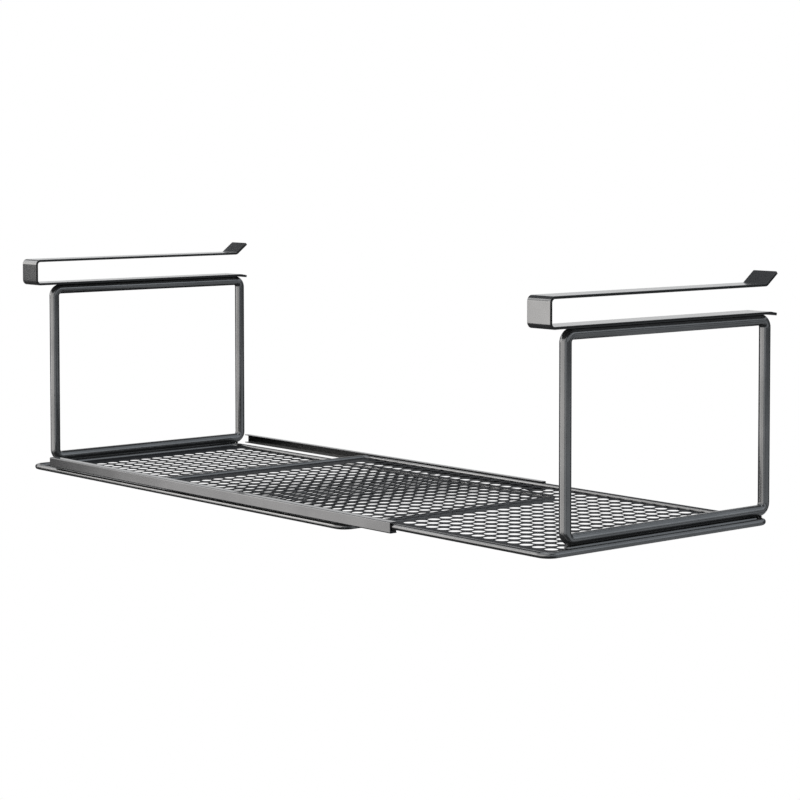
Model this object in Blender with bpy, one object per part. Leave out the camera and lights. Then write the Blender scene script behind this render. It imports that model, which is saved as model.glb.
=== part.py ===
"""Extendable hanging mesh rack.

Two hairpin strip clips grip a shelf board and rest on two upright wire loops. The left loop
carries a wire-rimmed mesh tray with a sheet channel along its front and its back, and the
right loop's tray slides in those channels, so the rack pulls out sideways.
Lengths in metres, +Z up. The origin is the middle of the rack's box, on its underside.
"""

import math

import bmesh
import bpy

# Gap kept between two pieces that touch on the real rack
SEAT_GAP = 0.0003

# Side loops: round tube bent to an upright rectangle, seen from the side
LOOP_SPACING = 0.7156
LOOP_TUBE_DIAMETER = 0.0094
LOOP_DEPTH = 0.225
LEFT_LOOP_HEIGHT = 0.1647
LOOP_BEND_RADIUS = 0.0066

# Tray rims: one round wire each, with its corners bent flat
RIM_WIRE_DIAMETER = 0.005
RIM_BEND_RADIUS = 0.0092
LEFT_WIRE_OFFSET = 0.0009
LEFT_TRAY_LENGTH = 0.4806
RIGHT_TRAY_LENGTH = 0.509
RIGHT_WIRE_LIFT = 0.0094
RIGHT_WIRE_OVERHANG = 0.0103
RIGHT_FRONT_OVERHANG = 0.0277
REAR_WIRE_INSET = 0.0003

# Channels: bent sheet, open inwards, spot welded to the left rim through small spacers
CHANNEL_SHEET = 0.0008
CHANNEL_BEND_RADIUS = 0.0006
SLIDE_CLEARANCE = 0.0006
FRONT_FLOOR_CLEARANCE = 0.0021
FRONT_CHANNEL_HEIGHT = 0.0092
FRONT_CHANNEL_FLANGE = 0.0072
FRONT_CHANNEL_START = 0.0402
FRONT_CHANNEL_OVERHANG = 0.0675
FRONT_WIRE_SETBACK = 0.0066
REAR_FLOOR_CLEARANCE = 0.0014
REAR_CHANNEL_HEIGHT = 0.0084
REAR_CHANNEL_FLANGE = 0.0052
REAR_CHANNEL_START = 0.0194
REAR_CHANNEL_INSET = 0.0171
REAR_WIRE_SETBACK = 0.0037

# Spacers, placed as shares of the stretch where a channel runs above the left rim's wire
SPACER_LENGTH = 0.012
SPACER_WIDTH = 0.0024
FRONT_SPACER_SHARES = {"left": 0.08, "right": 0.95}
REAR_SPACER_SHARES = {"left": 0.66, "right": 0.96}

# Mesh panels: punched sheet with diamond gaps, welded inside each rim
PANEL_SHEET = 0.001
PANEL_DROP = 0.0003
PANEL_ROWS = 10
GAP_SHARE = 0.87
LEFT_PANEL_COLUMNS = 20
LEFT_LAND_LEFT = 0.024
LEFT_LAND_RIGHT = 0.0168
LEFT_LAND_FRONT = 0.0148
LEFT_LAND_REAR = 0.0101
RIGHT_PANEL_COLUMNS = 22
RIGHT_LAND_LEFT = 0.015
RIGHT_LAND_RIGHT = 0.0183
RIGHT_LAND_FRONT = 0.0184
RIGHT_LAND_REAR = 0.0127

# Clips: flat strip bent to a hairpin, closed at the front, its upper arm ending in a raised tab
CLIP_WIDTH = 0.025
CLIP_THICKNESS = 0.0022
CLIP_MOUTH = 0.0205
CLIP_BEND_RADIUS = 0.0038
CLIP_FRONT_OVERHANG = 0.0279
CLIP_REAR_OVERHANG = 0.0009
CLIP_TAB_INSET = 0.0121
CLIP_TAB_LENGTH = 0.0162
CLIP_TAB_ANGLE = math.radians(37.5)
CLIP_DROOP_ANGLE = math.radians(10)

# How round the bends and the wires are
BEND_STEPS = 5
SHEET_BEND_STEPS = 3
LOOP_TUBE_RESOLUTION = 6
RIM_WIRE_RESOLUTION = 4

# Finishes: linear colour, roughness, metallic
DARK_PAINT = ((0.042, 0.046, 0.052), 0.34, 0.55)
CHANNEL_PAINT = ((0.050, 0.053, 0.058), 0.38, 0.50)
MESH_PAINT = ((0.030, 0.032, 0.036), 0.45, 0.45)
CLIP_PAINT = ((0.060, 0.063, 0.068), 0.40, 0.60)

# Radii, and the loops' bottom rail taken as height zero
TUBE_RADIUS = LOOP_TUBE_DIAMETER / 2
WIRE_RADIUS = RIM_WIRE_DIAMETER / 2
HALF_DEPTH = LOOP_DEPTH / 2

# Heights, from the left loop's bottom rail down to the rim it stands on, then up to the right tray
LEFT_RIM_Z = -TUBE_RADIUS - SEAT_GAP - WIRE_RADIUS
RIGHT_RIM_Z = LEFT_RIM_Z + RIGHT_WIRE_LIFT
CHANNEL_FLOOR_Z = RIGHT_RIM_Z - WIRE_RADIUS - CHANNEL_SHEET
FRONT_CHANNEL_Z = CHANNEL_FLOOR_Z - FRONT_FLOOR_CLEARANCE
REAR_CHANNEL_Z = CHANNEL_FLOOR_Z - REAR_FLOOR_CLEARANCE
RIGHT_RAIL_Z = RIGHT_RIM_Z + WIRE_RADIUS + SEAT_GAP + TUBE_RADIUS
CLIP_BOTTOM_Z = LEFT_LOOP_HEIGHT + TUBE_RADIUS + SEAT_GAP

# Depths, from the right tray's wires out to the channels, then in to the left tray's wires
RIGHT_FRONT_Y = -HALF_DEPTH - RIGHT_FRONT_OVERHANG
RIGHT_REAR_Y = HALF_DEPTH - LOOP_BEND_RADIUS - REAR_WIRE_INSET
FRONT_CHANNEL_Y = RIGHT_FRONT_Y - WIRE_RADIUS - SLIDE_CLEARANCE - CHANNEL_SHEET
REAR_CHANNEL_Y = RIGHT_REAR_Y + WIRE_RADIUS + SLIDE_CLEARANCE + CHANNEL_SHEET
LEFT_FRONT_Y = FRONT_CHANNEL_Y + FRONT_WIRE_SETBACK
LEFT_REAR_Y = REAR_CHANNEL_Y - REAR_WIRE_SETBACK

# Places along the rack: the left unit's from the left loop, the right unit's from the right loop
LEFT_RIM_ENDS = (LEFT_WIRE_OFFSET, LEFT_WIRE_OFFSET + LEFT_TRAY_LENGTH)
RIGHT_RIM_ENDS = (RIGHT_WIRE_OVERHANG - RIGHT_TRAY_LENGTH, RIGHT_WIRE_OVERHANG)
FRONT_CHANNEL_ENDS = (FRONT_CHANNEL_START, LEFT_RIM_ENDS[1] + FRONT_CHANNEL_OVERHANG)
REAR_CHANNEL_ENDS = (REAR_CHANNEL_START, LEFT_RIM_ENDS[1] - REAR_CHANNEL_INSET)


def clear_scene():
    for old in list(bpy.data.objects):
        bpy.data.objects.remove(old, do_unlink=True)


def paint(name, finish):
    """A painted surface of one colour for the piece of that name."""
    colour, roughness, metallic = finish
    material = bpy.data.materials.new(name + "_paint")
    material.use_nodes = True
    shader = material.node_tree.nodes["Principled BSDF"]
    shader.inputs["Base Color"].default_value = (*colour, 1.0)
    shader.inputs["Roughness"].default_value = roughness
    shader.inputs["Metallic"].default_value = metallic
    return material


def add_empty(name, location, parent=None):
    empty = bpy.data.objects.new(name, None)
    empty.location = location
    empty.parent = parent
    rack_collection.objects.link(empty)
    return empty


def add_piece(name, data, finish, parent, location=(0, 0, 0), upright=False):
    """Links one sub-part. An upright piece has its outline's x along the depth and its y up."""
    piece = bpy.data.objects.new(name, data)
    piece.location = location
    if upright:
        piece.rotation_euler = (math.pi / 2, 0, math.pi / 2)
    piece.parent = parent
    data.materials.append(paint(name, finish))
    rack_collection.objects.link(piece)
    return piece


def add_loop_of_points(curve, points):
    spline = curve.splines.new("POLY")
    spline.points.add(len(points) - 1)
    for place, (x, y) in zip(spline.points, points):
        place.co = (x, y, 0, 1)
    spline.use_cyclic_u = True


def round_wire(name, outline, diameter, resolution):
    """An endless round wire along a flat outline."""
    curve = bpy.data.curves.new(name, "CURVE")
    curve.dimensions = "3D"
    curve.bevel_depth = diameter / 2
    curve.bevel_resolution = resolution
    curve.use_fill_caps = True
    add_loop_of_points(curve, outline)
    return curve


def flat_plate(name, outlines, thickness):
    """A plate of even thickness. The first outline is its edge and the others are its gaps."""
    curve = bpy.data.curves.new(name, "CURVE")
    curve.dimensions = "2D"
    curve.fill_mode = "BOTH"
    curve.extrude = thickness / 2
    for outline in outlines:
        add_loop_of_points(curve, outline)
    return curve


def block(name, size):
    mesh = bpy.data.meshes.new(name)
    shape = bmesh.new()
    bmesh.ops.create_cube(shape, size=1)
    bmesh.ops.scale(shape, vec=size, verts=shape.verts)
    shape.to_mesh(mesh)
    shape.free()
    return mesh


def arc(centre, radius, start, turn, steps):
    """Points of an arc, from the angle start through the angle turn."""
    angles = (start + turn * step / steps for step in range(steps + 1))
    return [(centre[0] + radius * math.cos(a), centre[1] + radius * math.sin(a)) for a in angles]


def rounded_rectangle(low, high, radius, steps):
    """Anticlockwise outline between two opposite corners, with rounded corners."""
    left, bottom = low[0] + radius, low[1] + radius
    right, top = high[0] - radius, high[1] - radius
    quarter = math.pi / 2
    centres = [(right, top), (left, top), (left, bottom), (right, bottom)]
    outline = []
    for turn, centre in enumerate(centres):
        outline += arc(centre, radius, turn * quarter, quarter, steps)
    return outline


def unit(start, end):
    x, y = end[0] - start[0], end[1] - start[1]
    length = math.hypot(x, y)
    return (x / length, y / length)


def bent_strip(corners, thickness, radius, steps):
    """Outline of a strip seen on edge, bent at each inner corner of its middle line."""
    one_side, other_side = [], []

    def both_sides(point, across):
        half = thickness / 2
        one_side.append((point[0] + across[0] * half, point[1] + across[1] * half))
        other_side.append((point[0] - across[0] * half, point[1] - across[1] * half))

    first = unit(corners[0], corners[1])
    both_sides(corners[0], (-first[1], first[0]))
    for before, corner, after in zip(corners, corners[1:], corners[2:]):
        way_in, way_out = unit(before, corner), unit(corner, after)
        cross = way_in[0] * way_out[1] - way_in[1] * way_out[0]
        along = way_in[0] * way_out[0] + way_in[1] * way_out[1]
        turn = math.atan2(cross, along)
        side = math.copysign(1, turn)
        reach = radius * math.tan(abs(turn) / 2)
        start = (corner[0] - way_in[0] * reach, corner[1] - way_in[1] * reach)
        centre = (start[0] - way_in[1] * radius * side, start[1] + way_in[0] * radius * side)
        first_angle = math.atan2(start[1] - centre[1], start[0] - centre[0])
        for point in arc(centre, radius, first_angle, turn, steps):
            outward = unit(centre, point)
            both_sides(point, (-outward[0] * side, -outward[1] * side))
    last = unit(corners[-2], corners[-1])
    both_sides(corners[-1], (-last[1], last[0]))
    return one_side + other_side[::-1]


def add_side_loop(name, parent, bottom):
    outline = rounded_rectangle(
        (-HALF_DEPTH, bottom), (HALF_DEPTH, LEFT_LOOP_HEIGHT), LOOP_BEND_RADIUS, BEND_STEPS
    )
    tube = round_wire(name, outline, LOOP_TUBE_DIAMETER, LOOP_TUBE_RESOLUTION)
    return add_piece(name, tube, DARK_PAINT, parent, upright=True)


def add_tray_rim(name, parent, ends, front, rear, height):
    outline = rounded_rectangle((ends[0], front), (ends[1], rear), RIM_BEND_RADIUS, BEND_STEPS)
    wire = round_wire(name, outline, RIM_WIRE_DIAMETER, RIM_WIRE_RESOLUTION)
    return add_piece(name, wire, DARK_PAINT, parent, (0, 0, height))


def diamond(x, y, half_x, half_y):
    return [(x + half_x, y), (x, y + half_y), (x - half_x, y), (x, y - half_y)]


def add_mesh_panel(name, parent, ends, front, rear, height, lands, columns):
    """Punched sheet inside a rim. The lands are the plain margins, measured from the wires."""
    inset = WIRE_RADIUS + SEAT_GAP
    edge = rounded_rectangle(
        (ends[0] + inset, front + inset),
        (ends[1] - inset, rear - inset),
        RIM_BEND_RADIUS - inset,
        BEND_STEPS,
    )
    left, right = ends[0] + lands["left"], ends[1] - lands["right"]
    near, far = front + lands["front"], rear - lands["rear"]
    pitch_x, pitch_y = (right - left) / columns, (far - near) / PANEL_ROWS
    gaps = [
        diamond(
            left + pitch_x * (column + 0.5),
            near + pitch_y * (row + 0.5),
            pitch_x * GAP_SHARE / 2,
            pitch_y * GAP_SHARE / 2,
        )
        for column in range(columns)
        for row in range(PANEL_ROWS)
    ]
    sheet = flat_plate(name, [edge] + gaps, PANEL_SHEET)
    return add_piece(name, sheet, MESH_PAINT, parent, (0, 0, height - PANEL_DROP))


def add_channel(name, parent, ends, bottom, web, flange, height, inward):
    """C-section along the rack. Its web stands at the depth web and its flanges point inwards."""
    half_sheet = CHANNEL_SHEET / 2
    tip, back = web + inward * flange, web + inward * half_sheet
    low, high = bottom + half_sheet, bottom + height - half_sheet
    corners = [(tip, low), (back, low), (back, high), (tip, high)]
    section = bent_strip(corners, CHANNEL_SHEET, CHANNEL_BEND_RADIUS, SHEET_BEND_STEPS)
    channel = flat_plate(name, [section], ends[1] - ends[0])
    middle = (ends[0] + ends[1]) / 2
    return add_piece(name, channel, CHANNEL_PAINT, parent, (middle, 0, 0), upright=True)


def add_spacers(channel_name, parent, ends, bottom, web, flange, inward, shares):
    """Small blocks between the tip of a channel's lower flange and the rim wire below it."""
    low = max(ends[0], LEFT_RIM_ENDS[0] + RIM_BEND_RADIUS)
    high = min(ends[1], LEFT_RIM_ENDS[1] - RIM_BEND_RADIUS)
    foot, top = LEFT_RIM_Z + WIRE_RADIUS + SEAT_GAP, bottom - SEAT_GAP
    depth = web + inward * (flange - SPACER_WIDTH / 2)
    for side, share in shares.items():
        name = channel_name + "_spacer_" + side
        place = (low + (high - low) * share, depth, (foot + top) / 2)
        shape = block(name, (SPACER_LENGTH, SPACER_WIDTH, top - foot))
        add_piece(name, shape, CHANNEL_PAINT, parent, place)


def add_clip(name, parent):
    """Hairpin strip, lower arm on the loop's top rail, drawn from its rear tip round to the tab."""
    half = CLIP_THICKNESS / 2
    lower = CLIP_BOTTOM_Z + half
    upper = lower + CLIP_THICKNESS + CLIP_MOUTH
    front = -HALF_DEPTH - CLIP_FRONT_OVERHANG + half
    droop_start = HALF_DEPTH - LOOP_BEND_RADIUS
    rear = HALF_DEPTH + CLIP_REAR_OVERHANG
    droop = (rear - droop_start) * math.tan(CLIP_DROOP_ANGLE)
    tab_start = HALF_DEPTH - CLIP_TAB_INSET
    tab_end = tab_start + CLIP_TAB_LENGTH * math.cos(CLIP_TAB_ANGLE)
    tab_top = upper + CLIP_TAB_LENGTH * math.sin(CLIP_TAB_ANGLE)
    corners = [
        (rear, lower - droop),
        (droop_start, lower),
        (front, lower),
        (front, upper),
        (tab_start, upper),
        (tab_end, tab_top),
    ]
    outline = bent_strip(corners, CLIP_THICKNESS, CLIP_BEND_RADIUS, BEND_STEPS)
    strip = flat_plate(name, [outline], CLIP_WIDTH)
    return add_piece(name, strip, CLIP_PAINT, parent, upright=True)


def box_middle():
    """The left loop's place in the rack's own frame: the box's middle, on its underside."""
    left = min(-CLIP_WIDTH / 2, LEFT_RIM_ENDS[0] - WIRE_RADIUS, -TUBE_RADIUS)
    right = LOOP_SPACING + max(CLIP_WIDTH / 2, RIGHT_RIM_ENDS[1] + WIRE_RADIUS, TUBE_RADIUS)
    front = min(FRONT_CHANNEL_Y, -HALF_DEPTH - CLIP_FRONT_OVERHANG)
    rear = max(REAR_CHANNEL_Y, HALF_DEPTH + TUBE_RADIUS)
    return (-(left + right) / 2, -(front + rear) / 2, WIRE_RADIUS - LEFT_RIM_Z)


clear_scene()
rack_collection = bpy.data.collections.new("mesh_rack")
bpy.context.scene.collection.children.link(rack_collection)

left_unit = add_empty("left_unit", box_middle())
right_unit = add_empty("right_unit", (LOOP_SPACING, 0, 0), left_unit)

add_side_loop("left_side_loop", left_unit, 0)
add_side_loop("right_side_loop", right_unit, RIGHT_RAIL_Z)
add_clip("left_clip", left_unit)
add_clip("right_clip", right_unit)

left_place = (LEFT_RIM_ENDS, LEFT_FRONT_Y, LEFT_REAR_Y, LEFT_RIM_Z)
right_place = (RIGHT_RIM_ENDS, RIGHT_FRONT_Y, RIGHT_REAR_Y, RIGHT_RIM_Z)
add_tray_rim("left_tray_rim", left_unit, *left_place)
add_tray_rim("right_tray_rim", right_unit, *right_place)

left_lands = {
    "left": LEFT_LAND_LEFT,
    "right": LEFT_LAND_RIGHT,
    "front": LEFT_LAND_FRONT,
    "rear": LEFT_LAND_REAR,
}
right_lands = {
    "left": RIGHT_LAND_LEFT,
    "right": RIGHT_LAND_RIGHT,
    "front": RIGHT_LAND_FRONT,
    "rear": RIGHT_LAND_REAR,
}
add_mesh_panel("left_mesh_panel", left_unit, *left_place, left_lands, LEFT_PANEL_COLUMNS)
add_mesh_panel("right_mesh_panel", right_unit, *right_place, right_lands, RIGHT_PANEL_COLUMNS)

front_run = (FRONT_CHANNEL_ENDS, FRONT_CHANNEL_Z, FRONT_CHANNEL_Y, FRONT_CHANNEL_FLANGE)
rear_run = (REAR_CHANNEL_ENDS, REAR_CHANNEL_Z, REAR_CHANNEL_Y, REAR_CHANNEL_FLANGE)
add_channel("front_channel", left_unit, *front_run, FRONT_CHANNEL_HEIGHT, 1)
add_channel("rear_channel", left_unit, *rear_run, REAR_CHANNEL_HEIGHT, -1)
add_spacers("front_channel", left_unit, *front_run, 1, FRONT_SPACER_SHARES)
add_spacers("rear_channel", left_unit, *rear_run, -1, REAR_SPACER_SHARES)
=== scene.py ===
"""Pull-out mesh storage rack: the finished pieces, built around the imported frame.

Two hairpin clips hang two wire loops under a shelf. The left loop carries a mesh tray with a
sheet channel along its front and its back, and the right loop's tray slides in those channels.
Every piece takes its place from the frame's own boxes. Lengths are in metres, +Z up.
"""

import math

import bpy
import numpy as np
from mathutils import Matrix, Vector


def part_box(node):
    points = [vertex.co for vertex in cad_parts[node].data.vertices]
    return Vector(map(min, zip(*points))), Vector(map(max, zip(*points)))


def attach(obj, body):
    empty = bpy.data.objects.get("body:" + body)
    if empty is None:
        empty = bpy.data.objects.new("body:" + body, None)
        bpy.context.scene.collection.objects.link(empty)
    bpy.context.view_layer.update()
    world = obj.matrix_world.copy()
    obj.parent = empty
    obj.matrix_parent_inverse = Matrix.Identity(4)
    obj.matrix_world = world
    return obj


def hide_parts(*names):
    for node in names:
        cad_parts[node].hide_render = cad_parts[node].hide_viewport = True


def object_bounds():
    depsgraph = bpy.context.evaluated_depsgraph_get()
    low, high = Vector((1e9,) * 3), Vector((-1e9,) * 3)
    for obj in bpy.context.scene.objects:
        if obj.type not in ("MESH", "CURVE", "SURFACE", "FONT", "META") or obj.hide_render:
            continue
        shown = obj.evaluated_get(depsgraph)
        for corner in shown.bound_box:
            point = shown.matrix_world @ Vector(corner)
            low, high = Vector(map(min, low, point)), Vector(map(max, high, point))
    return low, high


bl_info = {
    "name": "Pull-out Mesh Rack",
    "version": (1, 0, 0),
    "blender": (4, 5, 0),
    "location": "View3D > Sidebar > Mesh Rack",
    "description": "Builds the finished pieces of a pull-out mesh storage rack around its frame",
    "category": "Add Mesh",
}

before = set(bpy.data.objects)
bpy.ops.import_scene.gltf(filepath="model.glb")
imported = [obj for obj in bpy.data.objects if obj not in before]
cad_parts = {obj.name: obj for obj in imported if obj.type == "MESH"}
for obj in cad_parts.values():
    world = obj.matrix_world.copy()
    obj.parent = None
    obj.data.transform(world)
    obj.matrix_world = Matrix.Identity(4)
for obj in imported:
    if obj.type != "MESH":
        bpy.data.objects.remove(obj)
CAD_BOUNDS = [list(corner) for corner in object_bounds()]

LEFT, RIGHT = "left", "right"
SIDES = (LEFT, RIGHT)
BODY = {LEFT: "left_unit", RIGHT: "right_unit"}
# Each channel, and which way along Y it opens
CHANNELS = {"front_channel": 1, "rear_channel": -1}

FULL_TURN = 2 * math.pi
QUARTER = math.pi / 2
# Faces that meet at a smaller angle than this are shaded as one surface
SMOOTH_ANGLE = math.radians(35)
# Points round one punched hole, four for each side of its square cell
HOLE_POINTS = 16
# Faces along a strip's rounded edge, and how far inside the edge its support rows stand, in radii
EDGE_STEPS = 4
EDGE_SUPPORT = 1.2
# The most that a rounded edge narrows a strip, as a share of the edge's radius
MOST_THINNED = 0.92


def box(node):
    """The lowest and the highest corner of a frame node, as two arrays."""
    low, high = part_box(node)
    return np.array(low), np.array(high)


def length(name, description, default):
    """A setting in metres."""
    return bpy.props.FloatProperty(
        name=name,
        description=description,
        default=default,
        precision=5,
        unit="LENGTH",
        subtype="DISTANCE",
    )


def count(name, description, default):
    """A setting that counts faces, holes or rows, one at least."""
    return bpy.props.IntProperty(name=name, description=description, default=default, min=1)


def share(name, description, default):
    """A setting between 0 and 1."""
    return bpy.props.FloatProperty(
        name=name, description=description, default=default, min=0.0, max=1.0, subtype="FACTOR"
    )


def tint(name, description, default):
    """A colour setting, as red, green and blue."""
    return bpy.props.FloatVectorProperty(
        name=name, description=description, default=default, size=3, min=0.0, max=1.0, subtype="COLOR"
    )


class RackWireSettings(bpy.types.PropertyGroup):
    loop_bend: length("Loop bend", "Middle-line radius of the side loops' corners", 0.0066)
    rim_bend: length("Rim bend", "Middle-line radius of the tray rims' corners", 0.0092)
    tube_sides: count("Tube sides", "Faces round a side loop's tube", 32)
    wire_sides: count("Wire sides", "Faces round a rim's wire", 24)
    bend_steps: count("Bend steps", "Faces along a quarter bend of tube or wire", 14)


class RackMeshSettings(bpy.types.PropertyGroup):
    sheet: length("Sheet", "Thickness of the punched sheet", 0.0004)
    left_hole_radius: length("Left hole radius", "Radius of the left sheet's holes", 0.0051)
    right_hole_radius: length("Right hole radius", "Radius of the right sheet's holes", 0.0053)
    hole_fullness: bpy.props.FloatProperty(
        name="Hole fullness",
        description="2 is a round hole, more is a rounded diamond",
        default=2.3,
        min=1.0,
    )
    front_rows: count("Front rows", "Rows from the middle row to the front one", 8)
    rear_rows: count("Rear rows", "Rows from the middle row to the one that the rear wire cuts", 9)
    left_columns: count("Left columns", "Holes along the left tray", 34)
    right_columns: count("Right columns", "Holes along the right tray", 35)
    left_pitch_along: length("Left pitch along", "Between the left sheet's columns", 0.01328)
    left_pitch_across: length("Left pitch across", "Between the left sheet's rows", 0.01313)
    right_pitch_along: length("Right pitch along", "Between the right sheet's columns", 0.01364)
    right_pitch_across: length("Right pitch across", "Between the right sheet's rows", 0.01290)
    left_start: length("Left start", "From the left loop's plane to the first column", 0.02964)
    right_start: length("Right start", "From the right loop's plane to the last column", 0.01066)
    left_middle_row: length("Left middle row", "Middle row's depth from the frame's middle", 0.00089)
    right_middle_row: length("Right middle row", "Middle row's depth from the frame's middle", 0.00031)
    weld_overlap: length("Weld overlap", "How far a sheet's edge reaches into the rim's wire", 0.0013)


class RackSheetSettings(bpy.types.PropertyGroup):
    channel_sheet: length("Channel sheet", "Thickness of the channels' sheet", 0.0008)
    channel_bend: length("Channel bend", "Middle-line radius of the channels' bends", 0.0006)
    channel_edge: length("Channel edge", "Rounding of the channels' cut edges", 0.0003)
    channel_steps: count("Channel steps", "Faces along a bend of the channels", 8)
    slide_block: length("Slide block", "Length of the block in the front channel's end", 0.012)
    slide_gap: length("Slide gap", "Height left between the block and the sliding wire", 0.0004)
    clip_strip: length("Clip strip", "Thickness of the clips' strip", 0.0022)
    clip_bend: length("Clip bend", "Middle-line radius of the clips' bends", 0.0038)
    clip_edge: length("Clip edge", "Rounding of the clips' edges", 0.0003)
    clip_corner: length("Clip corner", "Rounding of the clips' two ends, seen flat", 0.0012)
    clip_steps: count("Clip steps", "Faces along a bend of the clips", 12)
    clip_mouth: length("Clip mouth", "Height between a clip's arms", 0.0205)
    rear_overhang: length("Rear overhang", "How far the lower arm passes the rear upright", 0.0009)
    tab_inset: length("Tab inset", "From the rear upright in to the tab's bend", 0.0121)
    tab_length: length("Tab length", "Length of the raised tab along its middle line", 0.0162)
    tab_angle: bpy.props.FloatProperty(
        name="Tab angle",
        description="How steeply the tab rises",
        default=math.radians(37.5),
        subtype="ANGLE",
    )
    droop_angle: bpy.props.FloatProperty(
        name="Droop angle",
        description="How far the lower arm's end turns down",
        default=math.radians(10),
        subtype="ANGLE",
    )


class RackWeldSettings(bpy.types.PropertyGroup):
    bead: length("Bead", "Half the width and height of the beads at a loop's foot", 0.0009)
    bead_reach: share("Bead reach", "Half a bead's length, in radii of the tube", 0.62)
    bead_spread: share("Bead spread", "From the rear wire's middle to a bead, in radii of the wire", 0.75)
    left_seat: share("Left seat", "Half the width of the left seat, in radii of the wire", 0.8)
    right_seat: share("Right seat", "Half the width of the right seat, in radii of the tube", 0.9)
    seat_overlap: length("Seat overlap", "How far a seat reaches into the rail above it", 0.0007)


class RackPaintSettings(bpy.types.PropertyGroup):
    wire_colour: tint("Wire colour", "Powder coat of the loops and rims", (0.20, 0.20, 0.20))
    clip_colour: tint("Clip colour", "Powder coat of the clips", (0.22, 0.22, 0.22))
    channel_colour: tint("Channel colour", "Powder coat of the channels", (0.145, 0.145, 0.147))
    mesh_colour: tint("Mesh colour", "Powder coat of the punched sheets", (0.034, 0.035, 0.038))
    wire_roughness: share("Wire roughness", "How dull the loops and rims are", 0.16)
    clip_roughness: share("Clip roughness", "How dull the clips are", 0.16)
    channel_roughness: share("Channel roughness", "How dull the channels are", 0.15)
    mesh_roughness: share("Mesh roughness", "How dull the punched sheets are", 0.6)
    metal: share("Metal flake", "How much the coats shine like metal", 0.85)
    mesh_metal: share("Mesh metal flake", "How much the sheets' coat shines like metal", 0.1)


class RackStudioSettings(bpy.types.PropertyGroup):
    lens: bpy.props.FloatProperty(
        name="Lens", description="Focal length on a 36 mm sensor", default=104.749, unit="CAMERA"
    )
    floor_drop: length("Floor drop", "How far below the rack the studio floor lies", 1.5)
    key_light: bpy.props.FloatProperty(
        name="Key light", description="Brightness of the softboxes, times their own", default=1.0, min=0.0
    )
    fill_light: bpy.props.FloatProperty(
        name="Fill light", description="Brightness of the studio's walls", default=0.09, min=0.0
    )


def grid_quads(rows, columns, closed_rows):
    """Quads of a grid of points numbered row by row. Each row is a closed ring.

    With closed_rows the last row joins the first one too.
    """
    i, j = np.meshgrid(np.arange(rows if closed_rows else rows - 1), np.arange(columns), indexing="ij")
    next_i, next_j = (i + 1) % rows, (j + 1) % columns
    corners = [i * columns + j, i * columns + next_j, next_i * columns + next_j, next_i * columns + j]
    return np.stack([corner.ravel() for corner in corners], 1)


def signed_volume(points, blocks):
    """Six times the volume inside the faces, from fans of triangles about each face's first corner."""
    total = 0.0
    for block in blocks:
        first = points[block[:, 0]]
        for k in range(1, block.shape[1] - 1):
            total += np.sum(first * np.cross(points[block[:, k]], points[block[:, k + 1]]))
    return total


def add_mesh(name, points, blocks):
    """An object from its points and blocks of faces with equal corner counts, turned outwards."""
    points = np.asarray(points, float).reshape(-1, 3)
    if signed_volume(points - points.mean(0), blocks) < 0:
        blocks = [block[:, ::-1] for block in blocks]
    corners = np.concatenate([block.ravel() for block in blocks]).astype(np.int32)
    sizes = np.concatenate([np.full(len(block), block.shape[1]) for block in blocks])
    starts = (np.cumsum(sizes) - sizes).astype(np.int32)
    mesh = bpy.data.meshes.new(name)
    mesh.vertices.add(len(points))
    mesh.vertices.foreach_set("co", points.astype(np.float32).ravel())
    mesh.loops.add(len(corners))
    mesh.loops.foreach_set("vertex_index", corners)
    mesh.polygons.add(len(sizes))
    mesh.polygons.foreach_set("loop_start", starts)
    mesh.polygons.foreach_set("use_smooth", np.ones(len(sizes), bool))
    mesh.update(calc_edges=True)
    if mesh.validate():
        raise RuntimeError(name + " has faces that don't close")
    mesh.set_sharp_from_angle(angle=SMOOTH_ANGLE)
    piece = bpy.data.objects.new(name, mesh)
    bpy.context.scene.collection.objects.link(piece)
    return piece


def finish_piece(piece, side, kind, *nodes):
    """Hangs a piece on its side's body, paints it, and lets it stand for its frame nodes."""
    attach(piece, BODY[side])
    piece.data.materials.append(paint_for(kind))
    if nodes:
        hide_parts(*nodes)


class Value:
    """A node's output, so that sums on a surface's values read as plain expressions."""

    def __init__(self, coat, socket):
        self.coat = coat
        self.socket = socket

    def maths(self, operation, first, second):
        return self.coat.node("ShaderNodeMath", {"operation": operation}, {0: first, 1: second})

    def __add__(self, other):
        return self.maths("ADD", self, other)

    def __radd__(self, other):
        return self.maths("ADD", other, self)

    def __sub__(self, other):
        return self.maths("SUBTRACT", self, other)

    def __rsub__(self, other):
        return self.maths("SUBTRACT", other, self)

    def __mul__(self, other):
        return self.maths("MULTIPLY", self, other)

    def __rmul__(self, other):
        return self.maths("MULTIPLY", other, self)


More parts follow.
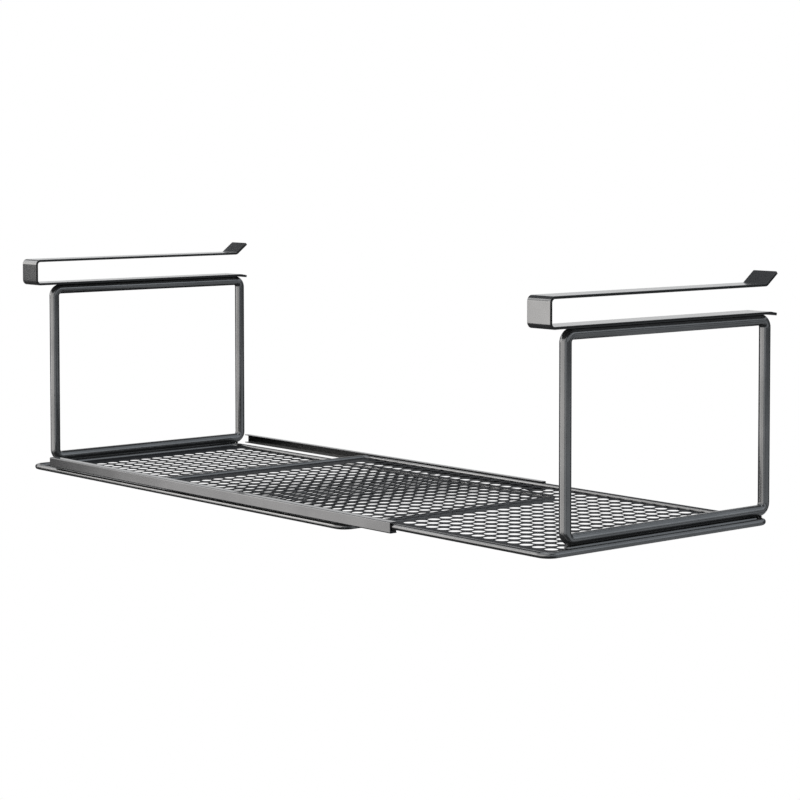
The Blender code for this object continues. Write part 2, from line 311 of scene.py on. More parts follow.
class Coat:
    """The node tree of a material or a world, with one method that makes any node."""

    def __init__(self, owner):
        owner.use_nodes = True
        self.tree = owner.node_tree
        self.tree.nodes.clear()

    def node(self, kind, settings=None, inputs=None, output=0):
        """Makes a node: its settings come first, then its sockets."""
        made = self.tree.nodes.new(kind)
        for key, setting in (settings or {}).items():
            setattr(made, key, setting)
        for key, given in (inputs or {}).items():
            socket = made.inputs[key]
            if isinstance(given, Value):
                self.tree.links.new(given.socket, socket)
            else:
                socket.default_value = given
        return Value(self, made.outputs[output]) if made.outputs else None

    def noise(self, place, scale, detail, roughness=0.5):
        """Cloudy values between 0 and 1, at a scale in clouds per metre."""
        inputs = {"Vector": place, "Scale": scale, "Detail": detail, "Roughness": roughness}
        return self.node("ShaderNodeTexNoise", {"noise_dimensions": "3D"}, inputs)

    def axis(self, place, number):
        """One coordinate of a place: 0 is X, 1 is Y and 2 is Z."""
        return self.node("ShaderNodeSeparateXYZ", None, {0: place}, number)

    def beyond(self, value, low, high, start, end):
        """0 in the middle of a range and 1 outside it, changing between two shares of its half."""
        off = value - (low + high) / 2
        half = (high - low) / 2
        return self.ramp(off * off, (start * half) ** 2, (end * half) ** 2)

    def ramp(self, value, low, high):
        """0 below low, 1 above high, smooth between them."""
        settings = {"interpolation_type": "SMOOTHSTEP"}
        inputs = {"Value": value, "From Min": low, "From Max": high}
        return self.node("ShaderNodeMapRange", settings, inputs)

    def mix(self, factor, first, second):
        """The first colour where the factor is 0, the second where it is 1."""
        return self.node("ShaderNodeMix", {"data_type": "RGBA"}, {0: factor, 6: first, 7: second}, 2)


# Grain of the powder coat: clouds per metre in its tone, flake, orange peel and dullness
TONE_GRAIN = 22.0
FLAKE_GRAIN = 2600.0
PEEL_GRAIN = 900.0
DULL_GRAIN = 60.0
# Tones of the coat, as shares of its colour; the last one is painted shade for cut edges and channel
# insides
DEEP_TONE = 0.92
PALE_TONE = 1.08
FLAKE_TONE = 1.35
PAINTED_SHADE_TONE = 0.2
# Values of the noise between which the pale clouds and the flakes come in
CLOUD_RANGE = (0.35, 0.65)
FLAKE_RANGE = (0.62, 0.78)
FLAKE_STRENGTH = 0.5
# Where the painted shade on a cut edge and on a channel's inside changes, in halves of their width
CUT_RANGE = (0.965, 0.985)
INSIDE_RANGE = (0.98, 1.02)
# Relief of the orange peel: its strength, its depth and the flake's part in it
PEEL_STRENGTH = 0.1
PEEL_DEPTH = 0.00002
FLAKE_RELIEF = 0.15
# How much the dullness and the peel add to the roughness, and what is taken off for both
DULL_SPREAD = 0.05
PEEL_SPREAD = 0.01
SPREAD_MIDDLE = 0.03
# The clear skin of a glossy coat
SKIN_WEIGHT = 0.12
SKIN_ROUGHNESS = 0.18
# Mirror-like light from the coat itself: a dead flat one's, and what gloss adds
FLAT_SPECULAR = 0.1
GLOSS_SPECULAR = 0.4


def powder_coat(material, colour, roughness, metal, gloss, strips=(), hollows=()):
    """Dark powder coat with metal flake: orange-peel bump, cloudy tone and dullness, fine flake.

    Metal is how much the coat shines like metal. Gloss is 1 for a coat with a clear, shiny skin
    and 0 for a dead flat one. Strips are the X limits of flat strips, whose cut edges are painted
    darker as painted shade. Hollows are the insides of channels, as their low and high (y, z),
    which take the same painted shade.
    """
    coat = Coat(material)
    place = coat.node("ShaderNodeTexCoord", output="Object")
    clouds = coat.noise(place, TONE_GRAIN, detail=3.0)
    flake = coat.noise(place, FLAKE_GRAIN, detail=0.0)
    peel = coat.noise(place, PEEL_GRAIN, detail=1.0)
    dull = coat.noise(place, DULL_GRAIN, detail=4.0, roughness=0.6)
    # The last tone, thin, is painted shade: the coat darkened for the clips' cut edges and the channels'
    # insides
    deep, pale, bright, thin = (
        tuple(min(1.0, channel * tone) for channel in colour) + (1.0,)
        for tone in (DEEP_TONE, PALE_TONE, FLAKE_TONE, PAINTED_SHADE_TONE)
    )
    base = coat.mix(coat.ramp(clouds, *CLOUD_RANGE), deep, pale)
    base = coat.mix(coat.ramp(flake, *FLAKE_RANGE) * FLAKE_STRENGTH, base, bright)
    # Painted shade: the clips' cut edges are darkened to the thin tone
    if strips:
        x = coat.axis(place, 0)
        cut = 1.0
        for low, high in strips:
            cut = coat.beyond(x, low, high, *CUT_RANGE) * cut
        base = coat.mix(cut, base, thin)
    # Painted shade: the channels' insides are darkened to the thin tone, as shade inside the hollow
    if hollows:
        y, z = coat.axis(place, 1), coat.axis(place, 2)
        for low, high in hollows:
            within_y = 1 - coat.beyond(y, low[0], high[0], *INSIDE_RANGE)
            within_z = 1 - coat.beyond(z, low[1], high[1], *INSIDE_RANGE)
            base = coat.mix(within_y * within_z, base, thin)
    relief = {
        "Strength": PEEL_STRENGTH,
        "Distance": PEEL_DEPTH,
        "Height": peel + FLAKE_RELIEF * flake,
    }
    inputs = {
        "Base Color": base,
        "Roughness": roughness - SPREAD_MIDDLE + DULL_SPREAD * dull + PEEL_SPREAD * peel,
        "Metallic": metal,
        "Coat Weight": SKIN_WEIGHT * gloss,
        "Specular IOR Level": FLAT_SPECULAR + GLOSS_SPECULAR * gloss,
        "Coat Roughness": SKIN_ROUGHNESS,
        "Normal": coat.node("ShaderNodeBump", None, relief),
    }
    shader = coat.node("ShaderNodeBsdfPrincipled", None, inputs)
    coat.node("ShaderNodeOutputMaterial", None, {"Surface": shader})


def clip_widths():
    """The X limits of both clips' strips."""
    return [[corner[0] for corner in box(side + "_clip")] for side in SIDES]


def channel_insides():
    """The low and high (y, z) of both channels' insides, from the middle of their sheet."""
    wall = bpy.context.scene.rack_sheets.channel_sheet / 2
    insides = []
    for node, inward in CHANNELS.items():
        low, high = (corner[1:] for corner in box(node))
        insides.append((low + (inward * wall, wall), high + (inward * wall, -wall)))
    return insides


def paint_for(kind):
    """The coat of one kind of piece, made once."""
    name = kind + "_powder_coat"
    material = bpy.data.materials.get(name)
    if material is None:
        paint = bpy.context.scene.rack_paint
        material = bpy.data.materials.new(name)
        metal, gloss = (paint.mesh_metal, 0.0) if kind == "mesh" else (paint.metal, 1.0)
        powder_coat(
            material,
            getattr(paint, kind + "_colour"),
            getattr(paint, kind + "_roughness"),
            metal,
            gloss,
            # The clips' cut edges and the channels' insides take painted shade
            strips=clip_widths() if kind == "clip" else (),
            hollows=channel_insides() if kind == "channel" else (),
        )
    return material


def wire_ring(low, high, bend, radius, bend_steps, sides):
    """A round wire bent to a flat rectangle: points (rows, sides, 3) as u, v and rise.

    The rectangle is the wire's middle line and bend its corners' radius. Round the corner with
    centre c, at angle t and wire angle s, the point is
    (u, v) = c + (bend + radius cos s) (cos t, sin t), rise = radius sin s. One more row stands
    half a radius off each bend, so that the straight runs are shaded as straight.
    """
    low, high = np.asarray(low, float) + bend, np.asarray(high, float) - bend
    centres = np.array([high, (low[0], high[1]), low, (high[0], low[1])])
    parts = np.pad(np.linspace(0, 1, bend_steps + 1), 1, mode="edge")
    turns = QUARTER * (np.arange(4)[:, None] + parts)
    ray = np.stack([np.cos(turns), np.sin(turns)], -1).reshape(-1, 1, 2)
    onward = np.stack([-np.sin(turns), np.cos(turns)], -1).reshape(-1, 1, 2)
    off_bend = np.zeros(len(parts))
    off_bend[[0, -1]] = -radius / 2, radius / 2
    centres = np.repeat(centres, len(parts), 0)[:, None, :]
    middles = centres + np.tile(off_bend, 4)[:, None, None] * onward
    wire_turn = FULL_TURN * np.arange(sides) / sides
    flat = middles + (bend + radius * np.cos(wire_turn))[None, :, None] * ray
    rise = np.broadcast_to(radius * np.sin(wire_turn), flat.shape[:2])
    return np.concatenate([flat, rise[..., None]], -1)


class RACK_OT_side_loops(bpy.types.Operator):
    """Bends the two upright side loops from round tube"""

    bl_idname = "rack.side_loops"
    bl_label = "Side Loops"

    def execute(self, context):
        wires = context.scene.rack_wires
        for side in SIDES:
            node = side + "_side_loop"
            low, high = box(node)
            radius = (high[0] - low[0]) / 2
            ring = wire_ring(
                low[1:] + radius,
                high[1:] - radius,
                wires.loop_bend,
                radius,
                wires.bend_steps,
                wires.tube_sides,
            )
            points = np.stack([ring[..., 2] + low[0] + radius, ring[..., 0], ring[..., 1]], -1)
            piece = add_mesh(side + "_loop_tube", points, [grid_quads(*points.shape[:2], True)])
            finish_piece(piece, side, "wire", node)
        return {"FINISHED"}


class RACK_OT_tray_rims(bpy.types.Operator):
    """Bends the two flat tray rims from round wire"""

    bl_idname = "rack.tray_rims"
    bl_label = "Tray Rims"

    def execute(self, context):
        wires = context.scene.rack_wires
        for side in SIDES:
            node = side + "_tray_rim"
            low, high = box(node)
            radius = (high[2] - low[2]) / 2
            points = wire_ring(
                low[:2] + radius,
                high[:2] - radius,
                wires.rim_bend,
                radius,
                wires.bend_steps,
                wires.wire_sides,
            )
            points[..., 2] += low[2] + radius
            piece = add_mesh(side + "_rim_wire", points, [grid_quads(*points.shape[:2], True)])
            finish_piece(piece, side, "wire", node)
        return {"FINISHED"}


def tuck(places, start, end, limit):
    """Draws what lies between start and end back to between start and limit."""
    return np.where(places > start, start + (places - start) * (limit - start) / (end - start), places)


def punched_plane(low, high, corner, first, pitch, counts, radius, fullness, corner_steps):
    """A flat sheet of punched holes with plain land up to its rounded outline.

    Each cell joins a square ring of quarter points, kept as whole numbers of quarter pitches so
    that neighbours share them, to the hole: centre + r (cos t, sin t), where with the fullness n
    and s = t - 45 degrees, r is radius / (|cos s|^n + |sin s|^n)^(1/n). The land joins the
    outermost ring to the outline, and fans out round the corners. Returns the points, the faces
    of one side, the open edges in the faces' own direction, and how many points, the last ones,
    make the outline.
    """
    quarter = np.asarray(pitch) / 4
    start = np.asarray(first) - 2 * quarter
    tall = 4 * counts[1] + 1
    k = np.arange(HOLE_POINTS)
    ray = np.stack([np.cos(FULL_TURN * k / HOLE_POINTS), np.sin(FULL_TURN * k / HOLE_POINTS)], -1)
    marks = 2 + np.round(ray / np.abs(ray).max(1, keepdims=True) * 2).astype(int)
    cells = 4 * np.stack(np.meshgrid(*map(np.arange, counts), indexing="ij"), -1).reshape(-1, 1, 2)
    ring_keys = (cells + marks) @ (tall, 1)
    keys, ring = np.unique(ring_keys, return_inverse=True)
    ring = ring.reshape(ring_keys.shape)
    ring_points = start + quarter * np.stack([keys // tall, keys % tall], -1)
    slant = FULL_TURN * k / HOLE_POINTS - QUARTER / 2
    reach = (np.abs(np.cos(slant)) ** fullness + np.abs(np.sin(slant)) ** fullness) ** (-1 / fullness)
    hole_points = (start + quarter * (cells + 2) + radius * reach[:, None] * ray).reshape(-1, 2)
    hole = len(keys) + np.arange(len(hole_points)).reshape(-1, HOLE_POINTS)
    next_ring, next_hole = np.roll(ring, -1, 1), np.roll(hole, -1, 1)
    quads = np.stack([ring, next_ring, next_hole, hole], -1).reshape(-1, 4)
    hole_edges = np.stack([next_hole, hole], -1).reshape(-1, 2)

    wide, deep = 4 * counts[0], 4 * counts[1]
    across, up = np.arange(wide + 1), np.arange(deep + 1)
    sides = [
        (wide + 0 * up, up, (1, 0)),
        (across[::-1], deep + 0 * across, (0, 1)),
        (0 * up, up[::-1], (-1, 0)),
        (across, 0 * across, (0, -1)),
    ]
    straight_low, straight_high = low + corner, high - corner
    inner, outer = [], []
    for number, (x, y, away) in enumerate(sides):
        facing = straight_low + np.stack([x / wide, y / deep], -1) * (straight_high - straight_low)
        turn = QUARTER * (number + np.arange(1, corner_steps) / corner_steps)
        bend = facing[-1] + corner * np.stack([np.cos(turn), np.sin(turn)], -1)
        places = np.searchsorted(keys, x * tall + y)
        inner.append(np.append(places, np.full(corner_steps - 1, places[-1])))
        outer.append(np.concatenate([facing + corner * np.array(away), bend]))
    inner, outer_points = np.concatenate(inner), np.concatenate(outer)
    outer = len(keys) + len(hole_points) + np.arange(len(outer_points))
    next_inner, next_outer = np.roll(inner, -1), np.roll(outer, -1)
    fan = inner == next_inner
    land = np.stack([inner, outer, next_outer, next_inner], -1)[~fan]
    corners = np.stack([inner, outer, next_outer], -1)[fan]
    edges = np.concatenate([hole_edges, np.stack([outer, next_outer], -1)])
    points = np.concatenate([ring_points, hole_points, outer_points])
    return points, [quads, land, corners], edges, len(outer_points)


class RACK_OT_mesh_panels(bpy.types.Operator):
    """Punches the two mesh sheets that are welded inside the rims"""

    bl_idname = "rack.mesh_panels"
    bl_label = "Mesh Panels"

    def execute(self, context):
        panels = context.scene.rack_mesh
        wires = context.scene.rack_wires
        middle = sum(corner[1] for corner in CAD_BOUNDS) / 2
        for side in SIDES:
            node = side + "_mesh_panel"
            low, high = box(node)
            rim_low, rim_high = box(side + "_tray_rim")
            wire = (rim_high[2] - rim_low[2]) / 2
            reach = 2 * wire - panels.weld_overlap
            loop_low, loop_high = box(side + "_side_loop")
            plane = (loop_low[0] + loop_high[0]) / 2
            along = getattr(panels, side + "_pitch_along")
            across = getattr(panels, side + "_pitch_across")
            columns = getattr(panels, side + "_columns")
            row = middle + getattr(panels, side + "_middle_row") - across * panels.front_rows
            rows = panels.front_rows + 1 + panels.rear_rows
            if side == LEFT:
                column = plane + panels.left_start
            else:
                column = plane - panels.right_start - along * (columns - 1)
            flat, blocks, edges, outline = punched_plane(
                rim_low[:2] + reach,
                rim_high[:2] - reach,
                wires.rim_bend + wire - reach,
                (column, row),
                (along, across),
                (columns, rows),
                getattr(panels, side + "_hole_radius"),
                panels.hole_fullness,
                wires.bend_steps,
            )
            # The rear row of holes would pass the sheet's edge, so it is drawn back under the wire
            wire_edge = rim_high[1] - 2 * wire
            last = row + across * (rows - 0.5)
            limit = rim_high[1] - reach - panels.sheet
            flat[:-outline, 1] = tuck(flat[:-outline, 1], wire_edge, last, limit)
            height = (low[2] + high[2]) / 2
            top, bottom = (
                np.insert(flat, 2, height + hand * panels.sheet / 2, 1) for hand in (1, -1)
            )
            blocks += [block[:, ::-1] + len(flat) for block in blocks]
            blocks.append(np.hstack([edges[:, ::-1], edges + len(flat)]))
            piece = add_mesh(side + "_punched_mesh", np.concatenate([top, bottom]), blocks)
            finish_piece(piece, side, "mesh", node)
        return {"FINISHED"}


def bent_line(corners, radius, steps):
    """Points and left-hand normals of a line that turns at each inner corner with that radius.

    On a bend, the point is the bend's centre minus or plus the radius times the normal. One more
    point stands a quarter of the radius off each side of a bend, so that flats are shaded flat.
    """
    corners = np.asarray(corners, float)
    ways = np.diff(corners, axis=0)
    ways /= np.linalg.norm(ways, axis=1, keepdims=True)
    left = np.stack([-ways[:, 1], ways[:, 0]], -1)
    points, normals = [corners[:1]], [left[:1]]
    for k in range(1, len(corners) - 1):
        turn = math.atan2(ways[k] @ left[k - 1], ways[k] @ ways[k - 1])
        side = math.copysign(1, turn)
        back = radius * math.tan(abs(turn) / 2)
        centre = corners[k] - ways[k - 1] * back + left[k - 1] * radius * side
        angles = math.atan2(left[k - 1][1], left[k - 1][0]) + turn * np.linspace(0, 1, steps + 1)
        normal = np.stack([np.cos(angles), np.sin(angles)], -1)
        bend = centre - side * radius * normal
        points += [bend[:1] - ways[k - 1] * radius / 4, bend, bend[-1:] + ways[k] * radius / 4]
        normals += [normal[:1], normal, normal[-1:]]
    points.append(corners[-1:])
    normals.append(left[-1:])
    return np.concatenate(points), np.concatenate(normals)


def strip_tip(place, normal, onward, half, edge):
    """Outline round a strip's end, from its left side to its right: two corners of the edge radius.

    A point is the corner's centre plus the edge radius times the unit vector of its angle.
    """
    sweep = QUARTER * np.linspace(0, 1, EDGE_STEPS + 1)[:, None]
    first = place + (half - edge + edge * np.cos(sweep)) * normal + edge * np.sin(sweep) * onward
    other = place - (half - edge + edge * np.cos(sweep)) * normal + edge * np.sin(sweep) * onward
    return np.concatenate([first, other[::-1]])


def folded_strip(corners, thickness, bend, steps, low_x, high_x, edge, corner):
    """Points and faces of a bent strip carried along X from its middle line's corners (y, z).

    At depth d from an X end the strip is thinner on each side by edge - sqrt(edge^2 - (edge - d)^2),
    and its tips draw back by corner - sqrt(corner^2 - (corner - d)^2), so every edge is round. More
    rows stand a little inside the rounded edges, so that flats are shaded flat.
    """
    line, normals = bent_line(corners, bend, steps)
    forward = np.array([normals[-1][1], -normals[-1][0]])
    backward = np.array([-normals[0][1], normals[0][0]])
    support = EDGE_SUPPORT * (corner + edge)
    second, last_but_one = line[:1] - support * backward, line[-1:] - support * forward
    line = np.concatenate([line[:1], second, line[1:-1], last_but_one, line[-1:]])
    normals = np.concatenate([normals[:1], normals, normals[-1:]])
    fine = edge * (1 - np.cos(QUARTER * np.linspace(0, 1, EDGE_STEPS + 1)))
    wide = corner * (1 - np.cos(QUARTER * np.linspace(0, 1, 2 * EDGE_STEPS + 1)))
    inside = [EDGE_SUPPORT * max(edge, corner)]
    depths = np.unique(np.round(np.concatenate([fine, wide, inside]), 8))
    thinner = edge - np.sqrt(edge**2 - np.clip(edge - depths, 0, None) ** 2)
    thinner = np.minimum(thinner, MOST_THINNED * edge)
    drawn = corner - np.sqrt(corner**2 - np.clip(corner - depths, 0, None) ** 2)
    sections = []
    for thin, draw in zip(thinner, drawn):
        middle = line.copy()
        middle[-1] -= forward * (draw + edge)
        middle[0] -= backward * (draw + edge)
        half = thickness / 2 - thin
        left, right = middle + half * normals, middle - half * normals
        far = strip_tip(middle[-1], normals[-1], forward, half, edge - thin)
        near = strip_tip(middle[0], -normals[0], backward, half, edge - thin)
        sections.append(np.concatenate([left[:-1], far, right[1:-1][::-1], near[:-1]]))
    sections = np.stack(sections + sections[::-1])
    stations = np.append(low_x + depths, high_x - depths[::-1])
    x = np.broadcast_to(stations[:, None, None], sections.shape[:2] + (1,))
    points = np.concatenate([x, sections], -1)

    size = sections.shape[1]
    left = np.arange(len(line))
    right = 2 * len(line) + 2 * EDGE_STEPS - 1 - left
    caps = [
        np.stack([left[:-1], left[1:], right[1:], right[:-1]], -1),
        np.arange(left[-1], right[-1] + 1)[None, :],
        np.append(np.arange(right[0], size), 0)[None, :],
    ]
    blocks = [grid_quads(len(points), size, False)]
    blocks += [cap[:, ::-1] for cap in caps]
    blocks += [cap + (len(points) - 1) * size for cap in caps]
    return points, blocks


# How deep the slide block starts in the channel's sheet, as a share of the sheet's thickness
BLOCK_START = 0.9


class RACK_OT_channels(bpy.types.Operator):
    """Folds the front and the rear channel from sheet, and adds the front one's slide block"""

    bl_idname = "rack.channels"
    bl_label = "Channels"

    def execute(self, context):
        sheets = context.scene.rack_sheets
        half = sheets.channel_sheet / 2
        for node, inward in CHANNELS.items():
            low, high = box(node)
            web, tip = (low[1], high[1]) if inward > 0 else (high[1], low[1])
            back = web + inward * half
            bottom, top = low[2] + half, high[2] - half
            points, blocks = folded_strip(
                [(tip, bottom), (back, bottom), (back, top), (tip, top)],
                sheets.channel_sheet,
                sheets.channel_bend,
                sheets.channel_steps,
                low[0],
                high[0],
                sheets.channel_edge,
                sheets.channel_edge,
            )
            piece = add_mesh(node + "_sheet", points, blocks)
            finish_piece(piece, LEFT, "channel", node)
        self.add_slide_block(sheets)
        return {"FINISHED"}

    def add_slide_block(self, sheets):
        """A block that fills the front channel's end below the sliding wire."""
        low, high = box("front_channel")
        wire_bottom = box("right_tray_rim")[0][2]
        bottom = low[2] + sheets.channel_sheet * BLOCK_START
        top = wire_bottom - sheets.slide_gap
        web = low[1] + sheets.channel_sheet * BLOCK_START
        middle = (bottom + top) / 2
        points, blocks = folded_strip(
            [(web, middle), (high[1], middle)],
            top - bottom,
            sheets.channel_bend,
            1,
            high[0] - sheets.slide_block,
            high[0] - sheets.channel_edge,
            sheets.channel_edge,
            sheets.channel_edge,
        )
        piece = add_mesh("front_channel_slide_block", points, blocks)
        finish_piece(piece, LEFT, "channel")


class RACK_OT_clips(bpy.types.Operator):
    """Folds the two hairpin clips from flat strip"""

    bl_idname = "rack.clips"
    bl_label = "Clips"

    def execute(self, context):
        sheets = context.scene.rack_sheets
        half = sheets.clip_strip / 2
        for side in SIDES:
            node = side + "_clip"
            low, high = box(node)
            loop_low, loop_high = box(side + "_side_loop")
            upright = loop_high[1] - (loop_high[0] - loop_low[0]) / 2
            droop_start = upright - context.scene.rack_wires.loop_bend
            rear = upright + sheets.rear_overhang
            tab_start = upright - sheets.tab_inset
            tab_reach = sheets.tab_length * math.cos(sheets.tab_angle)
            tab_rise = sheets.tab_length * math.sin(sheets.tab_angle)
            upper = high[2] - half * math.cos(sheets.tab_angle) - tab_rise
            lower = upper - sheets.clip_strip - sheets.clip_mouth
            droop = (rear - droop_start) * math.tan(sheets.droop_angle)
            front = low[1] + half
            points, blocks = folded_strip(
                [
                    (rear, lower - droop),
                    (droop_start, lower),
                    (front, lower),
                    (front, upper),
                    (tab_start, upper),
                    (tab_start + tab_reach, upper + tab_rise),
                ],
                sheets.clip_strip,
                sheets.clip_bend,
                sheets.clip_steps,
                low[0],
                high[0],
                sheets.clip_edge,
                sheets.clip_corner,
            )
            piece = add_mesh(side + "_clip_strip", points, blocks)
            finish_piece(piece, side, "clip", node)
        return {"FINISHED"}


# Rows along a weld bead, faces round it, and ripples in it
BEAD_ROWS = 15
BEAD_SIDES = 10
BEAD_RIPPLES = 5
# How far each bead's ripples are shifted from those of the bead before, in radians
RIPPLE_SHIFT = 1.3
# A seat's ends are much blunter than a bead's
SEAT_BLUNT = 0.08


def weld_beads(beads, blunt=0.5, ripple=0.07):
    """Points and faces of a row of weld beads, their ends closed to a point.

    Each bead is its middle, its axis and its half length, width and height. At share s of its
    length its size is sin(pi s)^blunt (1 + ripple sin(ripples)), and at angle t round it the
    point lies at half width cos t across and half height sin t up. The smaller blunt is, the
    blunter are the ends.
    """
    rows, sides = BEAD_ROWS, BEAD_SIDES
    middle, axis, sizes = (np.array([bead[k] for bead in beads], float) for k in (0, 1, 2))
    along = (1 - np.cos(np.linspace(0, math.pi, rows + 2)[1:-1])) / 2
    turn = FULL_TURN * np.arange(sides) / sides
    shifts = np.arange(len(beads))[:, None] * RIPPLE_SHIFT
    ripples = np.sin(FULL_TURN * along * BEAD_RIPPLES + shifts)
    swell = np.sin(math.pi * along) ** blunt * (1 + ripple * ripples)
    up = np.array([0.0, 0.0, 1.0])
    across = np.cross(up, axis)
    run = (2 * along - 1) * sizes[:, :1]
    width = sizes[:, 1:2] * swell
    height = sizes[:, 2:3] * swell
    grid = (
        middle[:, None, None]
        + run[:, :, None, None] * axis[:, None, None]
        + (width[:, :, None] * np.cos(turn))[..., None] * across[:, None, None]
        + (height[:, :, None] * np.sin(turn))[..., None] * up
    )
    poles = np.stack([middle - sizes[:, :1] * axis, middle + sizes[:, :1] * axis], 1)
    points = np.concatenate([grid.reshape(len(beads), -1, 3), poles], 1)
    k = np.arange(sides)
    after = (k + 1) % sides
    last = (rows - 1) * sides
    start = np.stack([np.full(sides, last + sides), after, k], -1)
    end = np.stack([np.full(sides, last + sides + 1), last + k, last + after], -1)
    offsets = (np.arange(len(beads)) * points.shape[1])[:, None, None]
    quads = (grid_quads(rows, sides, False) + offsets).reshape(-1, 4)
    ends = (np.concatenate([start, end]) + offsets).reshape(-1, 3)
    return points, [quads, ends]


class RACK_OT_welds(bpy.types.Operator):
    """Lays the weld beads, the loops' seats and the small pads that carry the channels"""

    bl_idname = "rack.welds"
    bl_label = "Welds"

    def execute(self, context):
        welds = context.scene.rack_welds
        x_axis, y_axis = (1, 0, 0), (0, 1, 0)
        for channel in CHANNELS:
            for end in SIDES:
                node = channel + "_spacer_" + end
                low, high = box(node)
                pad = ((low + high) / 2, x_axis, (high - low) / 2)
                piece = add_mesh(node + "_weld", *weld_beads([pad]))
                finish_piece(piece, LEFT, "channel", node)
        for side in SIDES:
            rim_low, rim_high = box(side + "_tray_rim")
            loop_low, loop_high = box(side + "_side_loop")
            wire = (rim_high[2] - rim_low[2]) / 2
            tube = (loop_high[0] - loop_low[0]) / 2
            plane = (loop_low[0] + loop_high[0]) / 2
            foot = (rim_high[2] + loop_low[2]) / 2
            rear = rim_high[1] - wire
            beads = []
            for hand in (-1, 1):
                place = (plane, rear + hand * wire * welds.bead_spread, foot)
                beads.append((place, x_axis, (tube * welds.bead_reach, welds.bead, welds.bead)))
            piece = add_mesh(side + "_loop_welds", *weld_beads(beads))
            finish_piece(piece, side, "wire")

            # The rail's bottom rests on the rim's wire on the left, and on the mesh on the right
            front = loop_low[1] + tube
            if side == LEFT:
                floor, half_width = rim_high[2], wire * welds.left_seat
            else:
                floor, half_width = (rim_low[2] + rim_high[2]) / 2, tube * welds.right_seat
            half_height = (loop_low[2] - floor) / 2 + welds.seat_overlap
            middle = (plane, (front + rear - wire) / 2, (floor + loop_low[2]) / 2)
            half = ((rear - wire - front) / 2, half_width, half_height)
            shape = weld_beads([(middle, y_axis, half)], SEAT_BLUNT, ripple=0)
            piece = add_mesh(side + "_loop_seat", *shape)
            finish_piece(piece, side, "wire")
        return {"FINISHED"}


# Softboxes: azimuth and elevation of the middle and angles across and up, all in degrees, then
# brightness and coolness
SOFTBOXES = {
    "front_wall": (88, 0, 68, 26, 1.1, -0.02),
    "front_left_wall": (43.8, 3, 22.2, 38, 1.42, -0.02),
    "front_left_ceiling": (22, 33, 40, 22, 1.25, 0.0),
    "front_left_band": (31, 14, 22, 18, 1.4, -0.02),
    "front_band": (95, 20, 84, 14, 0.82, 0.0),
    "front_ceiling": (100, 45, 84, 36, 0.5, 0.02),
    "front_low_wall": (86, -21, 50, 16, 0.42, 0.0),
    "side_wall": (141, -4, 30, 24, 0.45, 0.04),
    "right_low_wall": (200, -11, 76, 16, 0.3, 0.06),
    "right_wall": (195, 16, 80, 24, 0.4, 0.06),
    "right_back_ceiling": (240, 38, 70, 40, 0.4, 0.08),
    "right_back_floor": (245, -32, 70, 22, 0.26, 0.05),
    "right_floor_strip": (240, -49, 76, 8, 0.32, 0.04),
    "back_left_wall": (-40, 15, 50, 28, 0.55, 0.0),
    "overhead": (90, 89, 50, 50, 0.78, 0.05),
}
SOFTBOX_DISTANCE = 3.0
# Watts of a softbox of brightness 1, per square metre
SOFTBOX_WATTS = 4.0
# The walls' tint, how dim they are low down as a share of their light, and the heights of the
# view's direction between which they brighten
WALL_TINT = (0.93, 0.99, 1.06, 1)
WALL_LOW_SHARE = 0.3
WALL_FADE = (-0.7, -0.1)
WHITE = (1, 1, 1, 1)
# Half the floor's width and depth
FLOOR_HALF = 30.0
# The camera that was fitted to the rack's edges in the photograph, its turns in degrees
CAMERA_PLACE = (1.59977892, -1.31440467, 0.31624487)
CAMERA_YAW = 49.70303
CAMERA_TILT = 87.0
CAMERA_ROLL = -0.03599
CAMERA_SHIFT = -0.16707
SENSOR_WIDTH = 36


def around(azimuth, elevation, distance):
    """A place seen from the rack: azimuth from -X towards -Y, and elevation above the horizon."""
    a, e = math.radians(azimuth), math.radians(elevation)
    return Vector((-math.cos(e) * math.cos(a), -math.cos(e) * math.sin(a), math.sin(e))) * distance


def add_softbox(name, place, width, height, brightness):
    """A soft rectangular light that faces the rack and that the camera doesn't see."""
    light = bpy.data.lights.new(name, "AREA")
    light.shape = "RECTANGLE"
    light.size = width
    light.size_y = height
    light.energy = SOFTBOX_WATTS * brightness * width * height
    lamp = bpy.data.objects.new(name, light)
    bpy.context.scene.collection.objects.link(lamp)
    turn = (-place).to_track_quat("-Z", "Y").to_matrix().to_4x4()
    lamp.matrix_world = Matrix.Translation(place) @ turn
    lamp.visible_camera = False
    return lamp


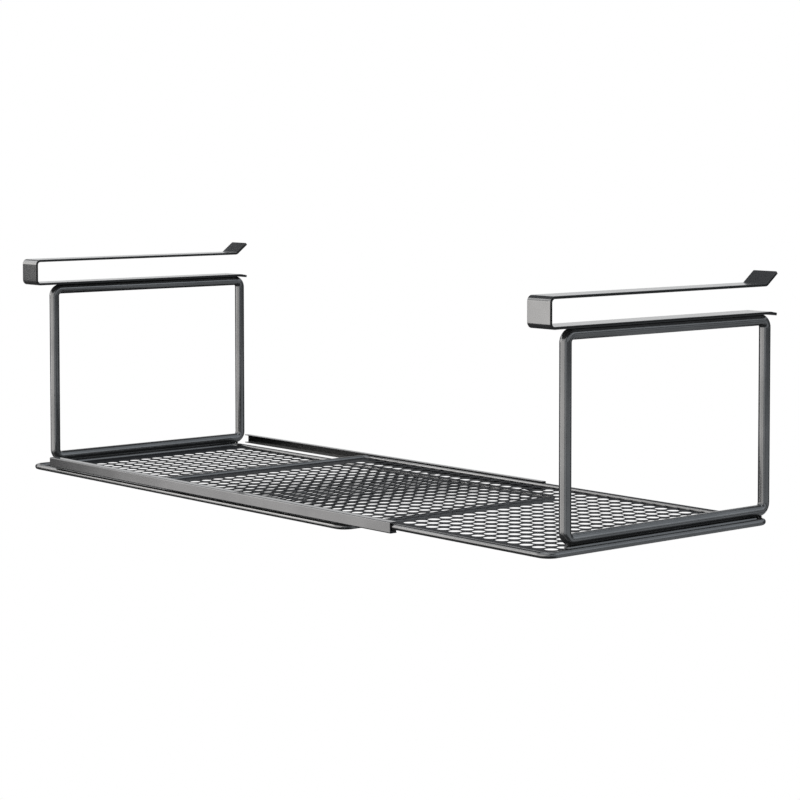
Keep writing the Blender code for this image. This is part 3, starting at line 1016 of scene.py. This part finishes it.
class RACK_OT_studio(bpy.types.Operator):
    """Sets the pale floor, the soft lights and the camera"""

    bl_idname = "rack.studio"
    bl_label = "Studio"

    def execute(self, context):
        studio = context.scene.rack_studio
        self.add_camera(context.scene, studio)
        self.add_floor(context.scene, studio)
        self.add_walls(context.scene, studio)
        for name, (azimuth, elevation, across, up, brightness, coolness) in SOFTBOXES.items():
            place = around(azimuth, elevation, SOFTBOX_DISTANCE)
            width, height = (
                2 * SOFTBOX_DISTANCE * math.tan(math.radians(angle / 2)) for angle in (across, up)
            )
            lamp = add_softbox(name, place, width, height, brightness * studio.key_light)
            lamp.data.color = (1 - coolness, 1, 1 + coolness)
        context.scene.view_settings.view_transform = "Standard"
        return {"FINISHED"}

    def add_camera(self, scene, studio):
        """The camera at the photograph's place: rolled, tilted up from straight down and turned."""
        data = bpy.data.cameras.new("photo_camera")
        data.sensor_width = SENSOR_WIDTH
        data.lens = studio.lens
        data.shift_y = CAMERA_SHIFT
        data.clip_end = 100
        camera = bpy.data.objects.new("photo_camera", data)
        scene.collection.objects.link(camera)
        camera.matrix_world = (
            Matrix.Translation(CAMERA_PLACE)
            @ Matrix.Rotation(math.radians(CAMERA_YAW), 4, "Z")
            @ Matrix.Rotation(math.radians(CAMERA_TILT), 4, "X")
            @ Matrix.Rotation(math.radians(CAMERA_ROLL), 4, "Z")
        )
        scene.camera = camera

    def add_floor(self, scene, studio):
        """A white floor far below the hanging rack, seen by the camera alone."""
        mesh = bpy.data.meshes.new("studio_floor")
        corners = [
            (x * FLOOR_HALF, y * FLOOR_HALF, -studio.floor_drop)
            for x, y in ((-1, -1), (1, -1), (1, 1), (-1, 1))
        ]
        mesh.from_pydata(corners, [], [(0, 1, 2, 3)])
        floor = bpy.data.objects.new("studio_floor", mesh)
        scene.collection.objects.link(floor)
        floor.visible_diffuse = False
        floor.visible_glossy = False
        floor.visible_shadow = False
        material = bpy.data.materials.new("studio_paper")
        paper = Coat(material)
        glow = paper.node("ShaderNodeEmission", None, {"Color": WHITE, "Strength": 1.0})
        paper.node("ShaderNodeOutputMaterial", None, {"Surface": glow})
        mesh.materials.append(material)

    def add_walls(self, scene, studio):
        """White to the camera, and otherwise dim walls that darken towards the floor."""
        scene.world = bpy.data.worlds.new("studio_walls")
        walls = Coat(scene.world)
        way = walls.node("ShaderNodeTexCoord", output="Generated")
        lit = walls.ramp(walls.axis(way, 2), *WALL_FADE)
        dim = (WALL_LOW_SHARE + (1 - WALL_LOW_SHARE) * lit) * studio.fill_light
        seen = walls.node("ShaderNodeLightPath", output="Is Camera Ray")
        strength = seen + (1 - seen) * dim
        colour = walls.mix(seen, WALL_TINT, WHITE)
        glow = walls.node("ShaderNodeBackground", None, {"Color": colour, "Strength": strength})
        walls.node("ShaderNodeOutputWorld", None, {"Surface": glow})


OPERATORS = (
    RACK_OT_side_loops,
    RACK_OT_tray_rims,
    RACK_OT_mesh_panels,
    RACK_OT_channels,
    RACK_OT_clips,
    RACK_OT_welds,
    RACK_OT_studio,
)

SETTINGS = {
    "rack_wires": RackWireSettings,
    "rack_mesh": RackMeshSettings,
    "rack_sheets": RackSheetSettings,
    "rack_welds": RackWeldSettings,
    "rack_paint": RackPaintSettings,
    "rack_studio": RackStudioSettings,
}


class RACK_PT_sidebar(bpy.types.Panel):
    """Lists the rack's build steps and sizes in the sidebar"""

    bl_idname = "RACK_PT_sidebar"
    bl_label = "Pull-out Mesh Rack"
    bl_space_type = "VIEW_3D"
    bl_region_type = "UI"
    bl_category = "Mesh Rack"

    def draw(self, context):
        for operator in OPERATORS:
            self.layout.operator(operator.bl_idname)
        for name, group in SETTINGS.items():
            column = self.layout.column(align=True)
            for key in group.__annotations__:
                column.prop(getattr(context.scene, name), key)


def register():
    """Adds the settings, the build steps and the sidebar to Blender."""
    for group in SETTINGS.values():
        bpy.utils.register_class(group)
    for name, group in SETTINGS.items():
        setattr(bpy.types.Scene, name, bpy.props.PointerProperty(type=group))
    for operator in OPERATORS:
        bpy.utils.register_class(operator)
    bpy.utils.register_class(RACK_PT_sidebar)


def unregister():
    """Takes out again what register adds."""
    bpy.utils.unregister_class(RACK_PT_sidebar)
    for operator in reversed(OPERATORS):
        bpy.utils.unregister_class(operator)
    for name in SETTINGS:
        delattr(bpy.types.Scene, name)
    for group in reversed(SETTINGS.values()):
        bpy.utils.unregister_class(group)


def main():
    """Builds the rack and its studio."""
    register()
    bpy.ops.rack.side_loops()
    bpy.ops.rack.tray_rims()
    bpy.ops.rack.mesh_panels()
    bpy.ops.rack.channels()
    bpy.ops.rack.clips()
    bpy.ops.rack.welds()
    bpy.ops.rack.studio()


if __name__ == "__main__":
    main()
